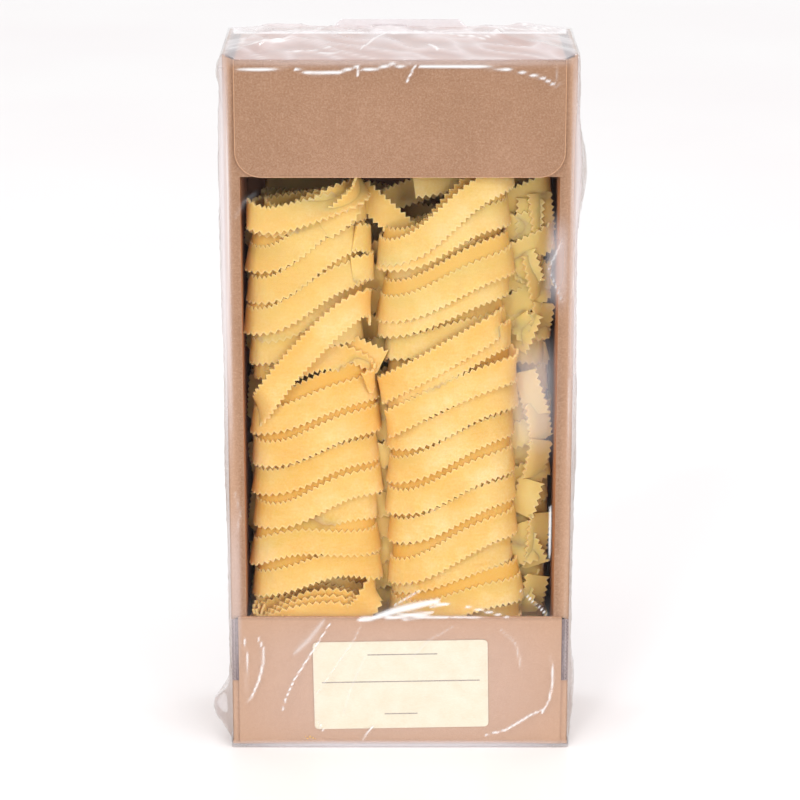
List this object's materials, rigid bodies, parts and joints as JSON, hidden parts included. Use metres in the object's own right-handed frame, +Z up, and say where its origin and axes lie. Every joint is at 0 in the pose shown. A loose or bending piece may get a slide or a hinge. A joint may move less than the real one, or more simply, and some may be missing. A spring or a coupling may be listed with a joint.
{
  "type": "ribbon pasta tray pack",
  "caption": "Film-wrapped kraft cardboard tray with a window front, filled with stacked nests of ribbon pasta with zigzag edges.",
  "frame": {"origin": "centre of the footprint, on the surface the pack stands on", "axes": "+Z up, the window and label face -Y, +X to the right of the window as seen from the front"},
  "size_m": [0.124, 0.0586, 0.2604],
  "materials": {
    "kraft_board": "matt brown micro-flute board",
    "label_paper": "matt cream label without print",
    "clear_film": "clear thin film",
    "egg_pasta": "dry floury egg pasta"
  },
  "bodies": {
    "root": {"tray": "kraft_board", "label": "label_paper", "film": "clear_film", "nest_front_left_base": "egg_pasta", "nest_front_left_middle": "egg_pasta", "nest_front_left_top": "egg_pasta", "nest_front_right_base": "egg_pasta", "nest_front_right_middle": "egg_pasta", "nest_front_right_top": "egg_pasta", "nest_back_left_base": "egg_pasta", "nest_back_left_middle": "egg_pasta", "nest_back_left_top": "egg_pasta", "nest_back_right_base": "egg_pasta", "nest_back_right_middle": "egg_pasta", "nest_back_right_top": "egg_pasta"}
  },
  "joints": []
}
